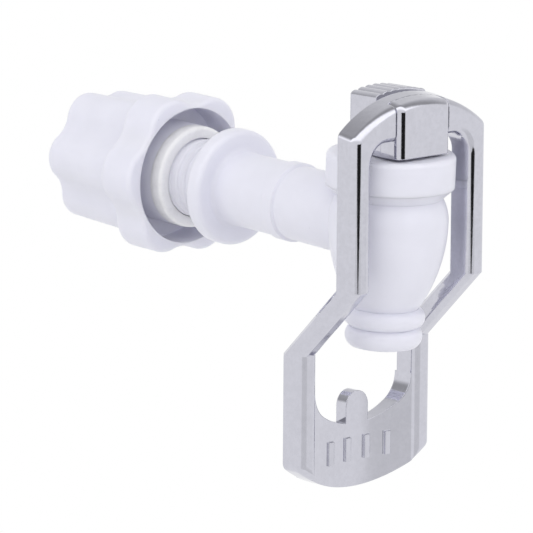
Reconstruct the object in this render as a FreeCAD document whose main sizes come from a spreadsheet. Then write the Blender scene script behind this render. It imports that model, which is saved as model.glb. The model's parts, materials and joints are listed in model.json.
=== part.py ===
"""Push tap for a water filter: valve body, rocking lever with a push frame, and a wall nut.

The origin is the centre of the flange face that seats on the filter's wall. The inlet axis is Y,
+Y points into the filter, and the spout hangs down along -Z at the distance `reach` in front of the wall.
"""
import FreeCAD, Part
import math
import os
import re
import Sketcher

# Driving sizes, in millimetres and degrees: name, value, what it is
SIZES = [
    ("reach", 53.5, "wall face to the axis of the valve"),
    ("bonnet_radius", 15.0, "outside of the cap"),
    ("bonnet_top", 17.4, "top of the cap above the inlet axis"),
    ("bonnet_roof", 2.4, "thickness of the cap's roof"),
    ("bonnet_seat", 9.6, "height of the shoulder that the cap sits on"),
    ("bonnet_edge", 1.2, "rounding of the cap's top edge"),
    ("stem_opening", 3.6, "radius of the hole in the cap's roof"),
    ("collar_radius", 11.8, "thread of the chamber's neck"),
    ("collar_top", 13.0, "top of the chamber's neck"),
    ("waist_radius", 12.3, "waist under the shoulder"),
    ("waist_level", 7.1, "height of the waist"),
    ("belly_radius", 13.9, "widest part of the chamber"),
    ("belly_level", 1.2, "height of the widest part"),
    ("belly_upper_curve", 10.7, "curve from the widest part up to the waist"),
    ("belly_lower_curve", 37.8, "curve from the widest part down to the neck"),
    ("belly_foot_radius", 8.9, "radius where the belly ends"),
    ("belly_foot_depth", 17.6, "end of the belly, below the inlet axis"),
    ("neck_radius", 7.9, "neck of the spout"),
    ("bead_top_depth", 19.2, "top of the upper bead, below the axis"),
    ("bead_split_depth", 23.6, "groove between the two beads, below the axis"),
    ("upper_bead_curve", 2.3, "round of the upper bead"),
    ("lower_bead_curve", 2.9, "round of the lower bead"),
    ("spout_depth", 28.2, "bottom of the spout, below the axis"),
    ("chamber_radius", 9.9, "inside of the chamber"),
    ("chamber_floor_depth", 7.0, "where the chamber's wall turns in, below the axis"),
    ("seat_lip_depth", 8.8, "top of the seat's lip, below the axis"),
    ("seat_depth", 0.8, "height of the lip above the floor round it"),
    ("seat_radius", 4.6, "hole in the seat"),
    ("lip_width", 0.9, "width of the lip"),
    ("outlet_radius", 5.6, "bore of the spout"),
    ("barrel_radius", 8.8, "barrel in front of the collar"),
    ("barrel_root_radius", 9.2, "barrel where it joins the chamber"),
    ("ring_radius", 9.4, "raised ring on the barrel"),
    ("ring_front", 29.8, "front of the ring, from the valve's axis"),
    ("ring_width", 3.2, "width of the ring"),
    ("ring_edge", 0.5, "slope at each side of the ring"),
    ("hub_radius", 8.9, "hub between the ring and the flange"),
    ("flange_radius", 13.9, "flange"),
    ("flange_width", 3.7, "thickness of the flange"),
    ("flange_edge", 1.3, "rounding of the flange's front edge"),
    ("flange_fillet", 1.2, "fillet between the flange and the hub"),
    ("tube_radius", 9.1, "inlet tube, at the middle of its thread"),
    ("tube_length", 43.5, "inlet tube behind the flange"),
    ("thread_depth", 0.4, "crest of the tube's thread above its middle"),
    ("inlet_radius", 6.5, "bore of the inlet tube"),
    ("passage_radius", 5.8, "passage from the tube to the chamber"),
    ("thread_clearance", 0.1, "radial gap in the cap's thread"),
    ("running_clearance", 0.05, "radial gap of a shaft that turns or slides"),
    ("seal_clearance", 0.03, "gap beside a seal, left uncompressed"),
    ("stem_radius", 2.5, "shaft of the stem"),
    ("shoulder_radius", 6.2, "shoulder of the stem"),
    ("shoulder_width", 1.4, "thickness of the shoulder"),
    ("plug_radius", 7.0, "valve plug"),
    ("plug_height", 3.4, "valve plug"),
    ("plug_edge", 0.8, "rounding of the plug's upper edge"),
    ("tip_neck_radius", 2.0, "neck that the plug grips"),
    ("tip_head_radius", 3.2, "head that the plug grips"),
    ("tip_neck_height", 1.2, "neck that the plug grips"),
    ("tip_head_height", 1.2, "head that the plug grips"),
    ("spring_washer_width", 0.6, "thickness of the washer under the spring"),
    ("bush_depth", 3.0, "bush below the top of the neck"),
    ("gland_depth", 1.9, "pocket for the stem's seal"),
    ("stem_seal_section", 1.8, "thickness of the stem's seal"),
    ("cap_seal_section", 1.8, "thickness of the cap's seal"),
    ("groove_land", 0.6, "bush wall beside the cap seal's groove"),
    ("spring_radius", 4.7, "mean radius of the coil"),
    ("spring_wire", 0.8, "wire of the spring"),
    ("spring_turns", 6.0, "turns of the coil"),
    ("pin_level", 22.0, "lever pin above the inlet axis"),
    ("pin_radius", 1.25, "lever pin"),
    ("pin_recess", 0.2, "end of the pin below the side of the thumb pad"),
    ("eye_width", 4.0, "flats at the stem's eye"),
    ("flats_depth", 1.5, "flats below the lever's base"),
    ("slot_gap", 0.3, "gap each side of the eye"),
    ("slot_swing", 1.4, "room in front of and behind the eye for the tilt"),
    ("head_width", 16.8, "front of the lever block"),
    ("head_proud", 1.1, "front of the block, in front of the arch"),
    ("head_lower_depth", 6.3, "head under the arch, front to back"),
    ("head_edge", 1.9, "rounding of the head's upright edges"),
    ("base_drop", 4.45, "base of the block below the pin"),
    ("heel_relief", 0.3, "rise of the base at its back"),
    ("pad_width", 16.0, "thumb pad across"),
    ("pad_gap", 0.2, "gap between the arch and the thumb pad"),
    ("pad_back", 5.7, "back of the thumb pad, behind the pin"),
    ("pad_side_top", 9.1, "thumb pad at its sides, above the pin"),
    ("pad_crown", 1.2, "rise of the pad's middle above its sides"),
    ("rib_count", 7.0, "ribs on the thumb pad"),
    ("rib_curve", 1.9, "round of each rib"),
    ("cheek_width", 1.5, "wall between the stem's slot and each side pocket"),
    ("block_wall", 1.5, "outer walls of the lever block"),
    ("frame_lean", 2.6, "angle of the frame, its foot forward, in degrees"),
    ("leg_gap", 0.8, "gap between each leg and the cap"),
    ("leg_width", 5.6, "leg seen from the front"),
    ("leg_depth", 6.9, "leg seen from the side"),
    ("leg_front", 9.7, "front of the upper legs, in front of the pin"),
    ("crank_back", 17.1, "how far the crank sets the lower legs back"),
    ("crank_top_drop", 34.2, "upper bend of the crank, below the pin"),
    ("crank_foot_drop", 51.3, "lower bend of the crank, below the pin"),
    ("arch_top", 10.1, "top of the arch at its back, above the pin"),
    ("arch_rise", 7.73, "rise of the arch's top from its corners to its middle"),
    ("arch_slope", 10.0, "fall of the arch's top towards its front, in degrees"),
    ("arch_corner", 2.0, "rounding of the arch's outer corners"),
    ("window_drop", 0.4, "top of the window below the pin"),
    ("window_corner", 5.0, "rounding of the window's upper corners"),
    ("notch_top", 4.8, "underside of the arch over the block, above the pin"),
    ("notch_gap", 0.2, "gap each side of the block in the arch"),
    ("notch_depth", 3.0, "how far the head is let into the arch"),
    ("fit_gap", 0.1, "gap between the block and the arch, above and behind"),
    ("leg_round", 1.85, "rounding of the frame's front edges"),
    ("leg_back_edge", 1.0, "bevel of the frame's back edges"),
    ("foot_corner_drop", 78.2, "bottom of the legs, below the pin"),
    ("foot_middle_drop", 85.3, "bottom of the push plate, below the pin"),
    ("foot_round", 2.2, "rounding of the lower corners"),
    ("plate_side_drop", 64.2, "top edge of the push plate, run on to the legs, below the pin"),
    ("plate_middle_drop", 70.2, "lowest point of the plate's top edge, below the pin"),
    ("plate_corner", 7.5, "rounding where the plate's top edge meets the legs"),
    ("plate_back", 0.4, "back of the plate from the back of the legs"),
    ("plate_edge_set", 1.1, "front of the plate at the legs, from their front"),
    ("plate_middle_set", 3.3, "front of the plate in the middle, from their front"),
    ("tab_width", 7.1, "tab on the push plate"),
    ("tab_drop", 62.5, "top of the tab, below the pin"),
    ("plate_lap", 0.6, "how far the push plate runs into each leg"),
    ("bar_width", 1.7, "raised bars on the push plate"),
    ("bar_height", 5.6, "raised bars on the push plate"),
    ("bar_pitch", 6.2, "spacing of the bars"),
    ("bar_drop", 76.2, "middle of the bars, below the pin"),
    ("bar_proud", 0.5, "how far the bars stand out"),
    ("washer_front", 11.1, "front of the seal washer, from the wall face"),
    ("washer_width", 3.4, "thickness of the seal washer"),
    ("washer_radius", 12.3, "outside of the seal washer"),
    ("washer_edge", 0.9, "rounding of the washer's front edges"),
    ("washer_gap", 0.5, "radial gap between the washer and the tube"),
    ("nut_front", 13.6, "mouth of the nut's skirt, from the wall face"),
    ("skirt_radius", 16.4, "inside of the skirt"),
    ("skirt_depth", 9.0, "depth of the skirt"),
    ("collar_peak", 20.2, "nut's collar over the lobes"),
    ("collar_valley", 17.4, "nut's collar between the lobes"),
    ("collar_nose", 8.0, "round of the collar's lobes"),
    ("collar_width", 10.4, "length of the collar"),
    ("collar_edge", 1.2, "rounding of the collar's edges"),
    ("grip_peak", 17.4, "grip over the lobes, at the collar"),
    ("grip_valley", 14.9, "grip between the lobes, at the collar"),
    ("grip_nose", 7.0, "round of the grip's lobes"),
    ("grip_taper", 1.8, "slope of the grip's sides, in degrees"),
    ("grip_edge", 1.6, "rounding of the grip's end"),
    ("nut_length", 33.9, "length of the nut"),
    ("lobe_angle", 56.7, "direction of one lobe, in degrees"),
]

# Places that follow from the driving sizes
PLACES = [
    ("belly_foot_level", "-belly_foot_depth"),
    ("bead_top", "-bead_top_depth"),
    ("bead_split", "-bead_split_depth"),
    ("spout_end", "-spout_depth"),
    ("chamber_floor", "-chamber_floor_depth"),
    ("seat_level", "-seat_lip_depth"),
    ("crank_top", "-crank_top_drop"),
    ("crank_foot", "-crank_foot_drop"),
    ("foot_corner", "-foot_corner_drop"),
    ("foot_middle", "-foot_middle_drop"),
    ("plate_top_side", "-plate_side_drop"),
    ("plate_top_middle", "-plate_middle_drop"),
    ("tab_top", "-tab_drop"),
    ("bar_level", "-bar_drop"),
    ("plug_top", "seat_level + plug_height"),
    ("shoulder_top", "plug_top + shoulder_width"),
    ("spring_foot", "shoulder_top + spring_washer_width"),
    ("bush_foot", "collar_top - bush_depth"),
    ("roof_underside", "bonnet_top - bonnet_roof"),
    ("gland_foot", "roof_underside - gland_depth"),
    ("gland_radius", "stem_radius + stem_seal_section + 2 * seal_clearance"),
    ("bush_radius", "chamber_radius - thread_clearance"),
    ("groove_radius", "chamber_radius - cap_seal_section - 2 * seal_clearance"),
    ("groove_foot", "bush_foot + groove_land"),
    ("groove_top", "groove_foot + cap_seal_section + 2 * seal_clearance"),
    ("block_base", "-base_drop"),
    ("flats_foot", "pin_level - base_drop - flats_depth"),
    ("window_top", "-window_drop"),
    ("saddle_level", "notch_top - fit_gap"),
    ("head_front", "leg_front + head_proud"),
    ("head_back", "leg_front - notch_depth + fit_gap"),
    ("head_step", "head_front - head_lower_depth"),
    ("slot_half_width", "eye_width / 2 + slot_gap"),
    ("slot_half_length", "stem_radius + slot_swing"),
    ("pocket_roof", "saddle_level - block_wall"),
    ("ring_back", "ring_front + ring_width"),
    ("flange_front", "reach - flange_width"),
    ("tube_end", "reach + tube_length"),
    ("leg_inside", "bonnet_radius + leg_gap"),
    ("frame_half_width", "leg_inside + leg_width"),
    ("leg_back", "leg_front - leg_depth"),
    ("pad_front", "leg_back - pad_gap"),
    ("arch_curve", "(frame_half_width ^ 2 + arch_rise ^ 2) / (2 * arch_rise)"),
    ("lower_front", "crank_back - leg_front"),
    ("lower_back", "crank_back - leg_back"),
    ("plate_rear", "lower_back - plate_back"),
    ("plate_edge_front", "lower_front + plate_edge_set"),
    ("plate_middle_front", "lower_front + plate_middle_set"),
    ("tab_half", "tab_width / 2"),
    ("blank_top", "arch_top + leg_round"),
    ("foot_drop", "foot_corner - foot_middle"),
    ("foot_curve", "(frame_half_width ^ 2 + foot_drop ^ 2) / (2 * foot_drop)"),
    ("plate_dip", "plate_top_side - plate_top_middle"),
    ("plate_curve", "(leg_inside ^ 2 + plate_dip ^ 2) / (2 * plate_dip)"),
    ("corner_across", "leg_inside - plate_corner"),
    ("corner_share", "plate_curve / (plate_curve - plate_corner)"),
    ("corner_fall", "sqrt((plate_curve - plate_corner) ^ 2 - corner_across ^ 2)"),
    ("corner_level", "plate_top_middle + plate_curve - corner_fall"),
    ("corner_foot", "plate_top_middle + plate_curve - corner_fall * corner_share"),
    ("cup_depth", "plate_middle_set - plate_edge_set"),
    ("cup_curve", "(leg_inside ^ 2 + cup_depth ^ 2) / (2 * cup_depth)"),
    ("nut_bore", "tube_radius + thread_depth + thread_clearance"),
    ("washer_bore", "tube_radius + washer_gap"),
    ("washer_back", "washer_front + washer_width"),
    ("sleeve_front", "washer_back - nut_front"),
    ("sleeve_radius", "washer_radius"),
    ("collar_hub", "collar_peak - collar_nose"),
    ("collar_flute", "(collar_hub ^ 2 + collar_valley ^ 2 - 2 * collar_hub * collar_valley * cos(30 deg)"
     " - collar_nose ^ 2) / (2 * (collar_nose + collar_hub * cos(30 deg) - collar_valley))"),
    ("grip_hub", "grip_peak - grip_nose"),
    ("grip_flute", "(grip_hub ^ 2 + grip_valley ^ 2 - 2 * grip_hub * grip_valley * cos(30 deg)"
     " - grip_nose ^ 2) / (2 * (grip_nose + grip_hub * cos(30 deg) - grip_valley))"),
]

SHEET = "Sizes"
NAMES = {row[0] for row in SIZES} | {row[0] for row in PLACES}
NODES = []

doc = FreeCAD.newDocument("push_tap")
sheet = doc.addObject("Spreadsheet::Sheet", SHEET)


def fill_sheet():
    """Write the driving sizes as numbers and the places as formulas, each with its alias."""
    for row, (name, value, note) in enumerate(SIZES, start=1):
        sheet.set(f"A{row}", name)
        sheet.set(f"B{row}", str(value))
        sheet.setAlias(f"B{row}", name)
        sheet.set(f"C{row}", note)
    for row, (name, formula) in enumerate(PLACES, start=len(SIZES) + 2):
        sheet.set(f"A{row}", name)
        sheet.set(f"B{row}", "=" + formula)
        sheet.setAlias(f"B{row}", name)
    doc.recompute()


def bound(expression):
    """The expression with each size's name pointing at the sheet."""
    return re.sub(r"[a-z][a-z_]*", lambda word: f"{SHEET}.{word[0]}" if word[0] in NAMES else word[0],
                  expression)


def size(expression):
    """Number that an expression on the sheet's names gives."""
    return float(sheet.evalExpression(bound(expression)))


def new_body(name, across="0", along="-reach", up="0"):
    """Empty body whose own frame stands at a place given by three expressions."""
    body = doc.addObject("PartDesign::Body", name)
    body.Label = name
    for axis, expression in zip("xyz", (across, along, up)):
        body.setExpression(f"Placement.Base.{axis}", bound(expression))
    NODES.append(body)
    return body


def sketch_on(body, name, plane, offset="0"):
    """Sketch on one of the body's own origin planes, shifted along the plane's normal."""
    sketch = body.newObject("Sketcher::SketchObject", name)
    support = next(part for part in body.Origin.OriginFeatures if part.Role == plane)
    sketch.AttachmentSupport = [(support, "")]
    sketch.MapMode = "FlatFace"
    sketch.setExpression("AttachmentOffset.Base.z", bound(offset))
    return sketch


def fix_point(sketch, edge, end, across, up):
    """Tie one end of an edge to two expressions."""
    for kind, expression in (("DistanceX", across), ("DistanceY", up)):
        index = sketch.addConstraint(Sketcher.Constraint(kind, -1, 1, edge, end, size(expression)))
        sketch.setExpression(f"Constraints[{index}]", bound(expression))


def arc_between(start, end, radius, side):
    """Minor arc from start to end; side 1 bows to the right of the way from start to end, -1 to the left."""
    chord = end - start
    half = chord.Length / 2
    to_middle = math.sqrt(max(radius * radius - half * half, 0.0))
    left = FreeCAD.Vector(-chord.y, chord.x, 0).normalize()
    centre = (start + end) / 2 + left * (side * to_middle)
    circle = Part.Circle(centre, FreeCAD.Vector(0, 0, 1), radius)
    first, last = (start, end) if side > 0 else (end, start)
    angles = [math.atan2(point.y - centre.y, point.x - centre.x) for point in (first, last)]
    return Part.ArcOfCircle(circle, angles[0], angles[1])


def outline(sketch, corners):
    """Closed outline through corners (across, up), each tied to the sheet.

    A corner with a third and a fourth item is reached from the one before it by an arc: the arc's
    radius as an expression, and the side that it bows to.
    """
    points = [FreeCAD.Vector(size(corner[0]), size(corner[1]), 0) for corner in corners]
    edges = []
    for index, corner in enumerate(corners):
        start, end = points[index - 1], points[index]
        if len(corner) == 2:
            edge = sketch.addGeometry(Part.LineSegment(start, end), False)
            edges.append((edge, 1, 2))
            continue
        edge = sketch.addGeometry(arc_between(start, end, size(corner[2]), corner[3]), False)
        edges.append((edge, 1, 2) if corner[3] > 0 else (edge, 2, 1))
    for index, corner in enumerate(corners):
        edge, first, last = edges[index]
        following = edges[(index + 1) % len(edges)]
        sketch.addConstraint(Sketcher.Constraint("Coincident", edge, last, following[0], following[1]))
        fix_point(sketch, edge, last, corner[0], corner[1])
    for index, corner in enumerate(corners):
        if len(corner) > 2:
            tie = sketch.addConstraint(Sketcher.Constraint("Radius", edges[index][0], size(corner[2])))
            sketch.setExpression(f"Constraints[{tie}]", bound(corner[2]))


def circle(sketch, across, up, radius):
    """Circle whose centre and radius are tied to the sheet."""
    centre = FreeCAD.Vector(size(across), size(up), 0)
    edge = sketch.addGeometry(Part.Circle(centre, FreeCAD.Vector(0, 0, 1), size(radius)), False)
    fix_point(sketch, edge, 3, across, up)
    tie = sketch.addConstraint(Sketcher.Constraint("Radius", edge, size(radius)))
    sketch.setExpression(f"Constraints[{tie}]", bound(radius))


def box_corners(low_across, high_across, low_up, high_up):
    """Corners of an upright rectangle."""
    return [(low_across, low_up), (high_across, low_up), (high_across, high_up), (low_across, high_up)]


def turned(body, name, plane, axis, corners, cut=False):
    """Full turn of an outline about one of its sketch's own axes."""
    sketch = sketch_on(body, name + "_outline", plane)
    outline(sketch, corners)
    feature = body.newObject("PartDesign::Groove" if cut else "PartDesign::Revolution", name)
    feature.Profile = sketch
    feature.ReferenceAxis = (sketch, [axis])
    feature.Angle = 360
    doc.recompute()
    return feature


def padded(body, name, sketch, length, both_ways=False, backwards=False):
    """Pad of a sketch along its normal."""
    feature = body.newObject("PartDesign::Pad", name)
    feature.Profile = sketch
    feature.setExpression("Length", bound(length))
    feature.Midplane = both_ways
    feature.Reversed = backwards
    doc.recompute()
    return feature


def pocketed(body, name, sketch, length, both_ways=False, backwards=False):
    """Pocket of a sketch, against its normal unless backwards, that has to remove material."""
    before = body.Shape.Volume
    feature = body.newObject("PartDesign::Pocket", name)
    feature.Profile = sketch
    feature.setExpression("Length", bound(length))
    feature.Midplane = both_ways
    feature.Reversed = backwards
    doc.recompute()
    if body.Shape.Volume >= before - 1e-6:
        raise RuntimeError(f"{name} cuts nothing")
    return feature


def rounded(body, name, radius, wanted, kind="Fillet"):
    """Fillet or chamfer on the edges of the body's shape that a test picks."""
    base = body.Tip
    picked = [f"Edge{number}" for number, edge in enumerate(base.Shape.Edges, start=1) if wanted(edge)]
    if not picked:
        raise RuntimeError(f"{name} finds no edge")
    feature = body.newObject(f"PartDesign::{kind}", name)
    feature.Base = (base, picked)
    feature.setExpression("Radius" if kind == "Fillet" else "Size", bound(radius))
    doc.recompute()
    return feature


def make_tap_body():
    """Chamber and spout turned about the valve's axis, barrel, flange and tube turned about the inlet's."""
    body = new_body("tap_body")
    turned(body, "chamber_and_spout", "XZ_Plane", "V_Axis", [
        ("0", "spout_end"),
        ("neck_radius", "spout_end"),
        ("neck_radius", "bead_split", "lower_bead_curve", 1),
        ("neck_radius", "bead_top", "upper_bead_curve", 1),
        ("belly_foot_radius", "belly_foot_level"),
        ("belly_radius", "belly_level", "belly_lower_curve", 1),
        ("waist_radius", "waist_level", "belly_upper_curve", 1),
        ("bonnet_radius", "bonnet_seat"),
        ("collar_radius", "bonnet_seat"),
        ("collar_radius", "collar_top"),
        ("0", "collar_top"),
    ])
    turned(body, "barrel_and_tube", "YZ_Plane", "H_Axis", [
        ("0", "0"),
        ("tube_end", "0"),
        ("tube_end", "tube_radius"),
        ("reach", "tube_radius"),
        ("reach", "flange_radius"),
        ("flange_front + flange_edge", "flange_radius"),
        ("flange_front", "flange_radius - flange_edge", "flange_edge", 1),
        ("flange_front", "hub_radius + flange_fillet"),
        ("flange_front - flange_fillet", "hub_radius", "flange_fillet", -1),
        ("ring_back + ring_edge", "hub_radius"),
        ("ring_back", "ring_radius"),
        ("ring_front", "ring_radius"),
        ("ring_front - ring_edge", "barrel_radius"),
        ("0", "barrel_root_radius"),
    ])
    turned(body, "valve_bore", "XZ_Plane", "V_Axis", [
        ("0", "collar_top"),
        ("chamber_radius", "collar_top"),
        ("chamber_radius", "chamber_floor"),
        ("seat_radius + 3 * lip_width", "seat_level - seat_depth"),
        ("seat_radius + lip_width", "seat_level - seat_depth"),
        ("seat_radius + lip_width", "seat_level"),
        ("seat_radius", "seat_level"),
        ("seat_radius", "seat_level - 4 * lip_width"),
        ("outlet_radius", "seat_level - 6 * lip_width"),
        ("outlet_radius", "spout_end"),
        ("0", "spout_end"),
    ], cut=True)
    turned(body, "inlet_bore", "YZ_Plane", "H_Axis", [
        ("0", "0"),
        ("tube_end", "0"),
        ("tube_end", "inlet_radius"),
        ("reach", "inlet_radius"),
        ("reach - inlet_radius + passage_radius", "passage_radius"),
        ("0", "passage_radius"),
    ], cut=True)


def make_bonnet_cap():
    """Cap that screws over the neck and clamps the bush."""
    body = new_body("bonnet_cap")
    turned(body, "cap", "XZ_Plane", "V_Axis", [
        ("collar_radius + thread_clearance", "bonnet_seat"),
        ("bonnet_radius", "bonnet_seat"),
        ("bonnet_radius", "bonnet_top - bonnet_edge"),
        ("bonnet_radius - bonnet_edge", "bonnet_top", "bonnet_edge", 1),
        ("stem_opening", "bonnet_top"),
        ("stem_opening", "roof_underside"),
        ("collar_radius + thread_clearance", "roof_underside"),
    ])


def make_guide_bush():
    """Bush clamped between the neck and the cap, with a gland above and a groove round it."""
    body = new_body("guide_bush")
    turned(body, "bush", "XZ_Plane", "V_Axis", [
        ("stem_radius + running_clearance", "bush_foot"),
        ("bush_radius", "bush_foot"),
        ("bush_radius", "groove_foot"),
        ("groove_radius", "groove_foot"),
        ("groove_radius", "groove_top"),
        ("bush_radius", "groove_top"),
        ("bush_radius", "collar_top"),
        ("collar_radius", "collar_top"),
        ("collar_radius", "roof_underside"),
        ("gland_radius", "roof_underside"),
        ("gland_radius", "gland_foot"),
        ("stem_radius + running_clearance", "gland_foot"),
    ])


def make_ring_seal(name, mean_radius, section, level):
    """Round ring seal about the valve's axis."""
    ring = doc.addObject("Part::Torus", name)
    ring.Label = name
    ring.setExpression("Radius1", bound(mean_radius))
    ring.setExpression("Radius2", bound(f"({section}) / 2"))
    ring.setExpression("Placement.Base.y", bound("-reach"))
    ring.setExpression("Placement.Base.z", bound(level))
    NODES.append(ring)


def make_valve_stem():
    """Stem with the tip that the plug grips, a shoulder, a shaft and an eye for the pin."""
    body = new_body("valve_stem")
    turned(body, "shaft", "XZ_Plane", "V_Axis", [
        ("0", "plug_top - tip_neck_height - tip_head_height"),
        ("tip_head_radius", "plug_top - tip_neck_height - tip_head_height"),
        ("tip_head_radius", "plug_top - tip_neck_height"),
        ("tip_neck_radius", "plug_top - tip_neck_height"),
        ("tip_neck_radius", "plug_top"),
        ("shoulder_radius", "plug_top"),
        ("shoulder_radius", "shoulder_top"),
        ("stem_radius", "shoulder_top"),
        ("stem_radius", "pin_level"),
        ("0", "pin_level + stem_radius", "stem_radius", 1),
    ])
    sketch = sketch_on(body, "flats_outline", "XZ_Plane")
    inner, outer = "eye_width / 2", "2 * stem_radius"
    low, high = "flats_foot", "pin_level + 2 * stem_radius"
    outline(sketch, box_corners(inner, outer, low, high))
    outline(sketch, box_corners(f"-{outer}", f"-{inner}", low, high))
    pocketed(body, "flats", sketch, "4 * stem_radius", both_ways=True)
    sketch = sketch_on(body, "pin_hole_outline", "YZ_Plane")
    circle(sketch, "0", "pin_level", "pin_radius + running_clearance")
    pocketed(body, "pin_hole", sketch, "2 * eye_width", both_ways=True)


def make_valve_plug():
    """Silicone plug that is stretched over the stem's tip."""
    body = new_body("valve_plug")
    turned(body, "plug", "XZ_Plane", "V_Axis", [
        ("0", "seat_level"),
        ("plug_radius", "seat_level"),
        ("plug_radius", "plug_top - plug_edge"),
        ("plug_radius - plug_edge", "plug_top", "plug_edge", 1),
        ("tip_neck_radius + seal_clearance", "plug_top"),
        ("tip_neck_radius + seal_clearance", "plug_top - tip_neck_height"),
        ("tip_head_radius + seal_clearance", "plug_top - tip_neck_height"),
        ("tip_head_radius + seal_clearance", "plug_top - tip_neck_height - tip_head_height"),
        ("0", "plug_top - tip_neck_height - tip_head_height"),
    ])


def make_spring_washer():
    """Flat washer between the stem's shoulder and the spring."""
    body = new_body("spring_washer")
    turned(body, "washer", "XZ_Plane", "V_Axis",
           box_corners("stem_radius + running_clearance", "shoulder_radius", "shoulder_top", "spring_foot"))


def make_return_spring():
    """Coil between the washer and the bush."""
    coil = doc.addObject("Part::Helix", "spring_path")
    coil.setExpression("Radius", bound("spring_radius"))
    coil.setExpression("Height", bound("bush_foot - spring_foot - spring_wire"))
    coil.setExpression("Pitch", bound("(bush_foot - spring_foot - spring_wire) / spring_turns"))
    coil.setExpression("Placement.Base.y", bound("-reach"))
    coil.setExpression("Placement.Base.z", bound("spring_foot + spring_wire / 2"))
    wire = doc.addObject("Part::Circle", "spring_wire_section")
    wire.setExpression("Radius", bound("spring_wire / 2"))
    wire.Placement.Rotation = FreeCAD.Rotation(FreeCAD.Vector(1, 0, 0), 90)
    wire.setExpression("Placement.Base.x", bound("spring_radius"))
    wire.setExpression("Placement.Base.y", bound("-reach"))
    wire.setExpression("Placement.Base.z", bound("spring_foot + spring_wire / 2"))
    spring = doc.addObject("Part::Sweep", "return_spring")
    spring.Label = "return_spring"
    spring.Sections = [wire]
    spring.Spine = (coil, [])
    spring.Solid = True
    spring.Frenet = True
    NODES.append(spring)


def lean(body):
    """Turn a body that stands at the lever pin by the lever's lean, foot forward."""
    body.Placement.Rotation = FreeCAD.Rotation(FreeCAD.Vector(-1, 0, 0), size("frame_lean"))
    body.setExpression("Placement.Rotation.Angle", bound("frame_lean"))


def arch_top_cut(body):
    """Cut everything above the arch's top, a round surface that falls towards the front."""
    sketch = sketch_on(body, "arch_top_outline", "XZ_Plane", "leg_back")
    sketch.AttachmentOffset.Rotation = FreeCAD.Rotation(FreeCAD.Vector(1, 0, 0), size("arch_slope"))
    sketch.setExpression("AttachmentOffset.Rotation.Angle", bound("arch_slope"))
    wide = "(frame_half_width + fit_gap)"
    end = f"(arch_top * cos(arch_slope * 1 deg) - arch_curve + sqrt(arch_curve ^ 2 - {wide} ^ 2))"
    outline(sketch, [
        (wide, end, "arch_curve", -1),
        (wide, "2 * blank_top"),
        ("-" + wide, "2 * blank_top"),
        ("-" + wide, end),
    ])
    pocketed(body, "arch_top_cut", sketch, "4 * leg_front", both_ways=True)


def rib_corners():
    """Outline of the thumb pad's crown: a row of round ribs on a shallow rise."""
    corners = [("pad_width / 2", "saddle_level"), ("pad_width / 2", "pad_side_top")]
    count = round(size("rib_count"))
    for number in range(1, count + 1):
        across = f"pad_width * (0.5 - {number} / rib_count)"
        rise = f"pad_side_top + pad_crown * (1 - (1 - 2 * {number} / rib_count) ^ 2)"
        corners.append((across, rise, "rib_curve", 1))
    corners.append(("-pad_width / 2", "saddle_level"))
    return corners


def make_lever_block():
    """Rocking head: front block let into the arch, a saddle under it, and a ribbed thumb pad behind it.

    Its own frame stands at the lever pin and leans with the push frame.
    """
    body = new_body("lever_block", up="pin_level")
    lean(body)
    sketch = sketch_on(body, "head_outline", "XZ_Plane", "head_front")
    outline(sketch, box_corners("-head_width / 2", "head_width / 2", "block_base", "blank_top"))
    padded(body, "head", sketch, "head_front - head_back", backwards=True)
    arch_top_cut(body)
    front, side = -size("head_front"), size("head_width") / 2

    def on_front(edge):
        """Whether both ends of an edge lie in the front face."""
        return all(abs(vertex.Y - front) < 1e-4 for vertex in edge.Vertexes)

    rounded(body, "head_top_round", "leg_round",
            lambda edge: on_front(edge) and all(vertex.Z > 0 for vertex in edge.Vertexes))
    rounded(body, "head_side_round", "head_edge",
            lambda edge: on_front(edge) and abs(edge.Vertexes[0].Z - edge.Vertexes[1].Z) > 1
            and all(abs(abs(vertex.X) - side) < 1e-4 for vertex in edge.Vertexes))
    sketch = sketch_on(body, "head_foot_outline", "YZ_Plane")
    outline(sketch, box_corners("-head_back - fit_gap", "-head_step", "block_base", "saddle_level"))
    padded(body, "head_foot", sketch, "head_width", both_ways=True)
    sketch = sketch_on(body, "neck_outline", "YZ_Plane")
    outline(sketch, [
        ("-head_step - fit_gap", "block_base"),
        ("0", "block_base"),
        ("pad_back", "block_base + heel_relief"),
        ("pad_back", "saddle_level"),
        ("-head_step - fit_gap", "saddle_level"),
    ])
    padded(body, "neck", sketch, "pad_width", both_ways=True)
    sketch = sketch_on(body, "pad_outline", "XZ_Plane", "-pad_back")
    outline(sketch, rib_corners())
    padded(body, "thumb_pad", sketch, "pad_front + pad_back")
    sketch = sketch_on(body, "slot_outline", "XY_Plane", "block_base")
    outline(sketch, box_corners("-slot_half_width", "slot_half_width",
                                "-slot_half_length", "slot_half_length"))
    pocketed(body, "stem_slot", sketch, "saddle_level - block_base - block_wall / 2", backwards=True)
    sketch = sketch_on(body, "pocket_outline", "XY_Plane", "block_base")
    inner, outer = "slot_half_width + cheek_width", "pad_width / 2 - block_wall"
    low, high = "-head_front + 1.5 * block_wall", "pad_back - block_wall"
    outline(sketch, box_corners(inner, outer, low, high))
    outline(sketch, box_corners(f"-({outer})", f"-({inner})", low, high))
    pocketed(body, "side_pockets", sketch, "pocket_roof - block_base", backwards=True)
    sketch = sketch_on(body, "lever_pin_outline", "YZ_Plane")
    circle(sketch, "0", "0", "pin_radius + seal_clearance")
    pocketed(body, "pin_bore", sketch, "2 * head_width", both_ways=True)


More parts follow.
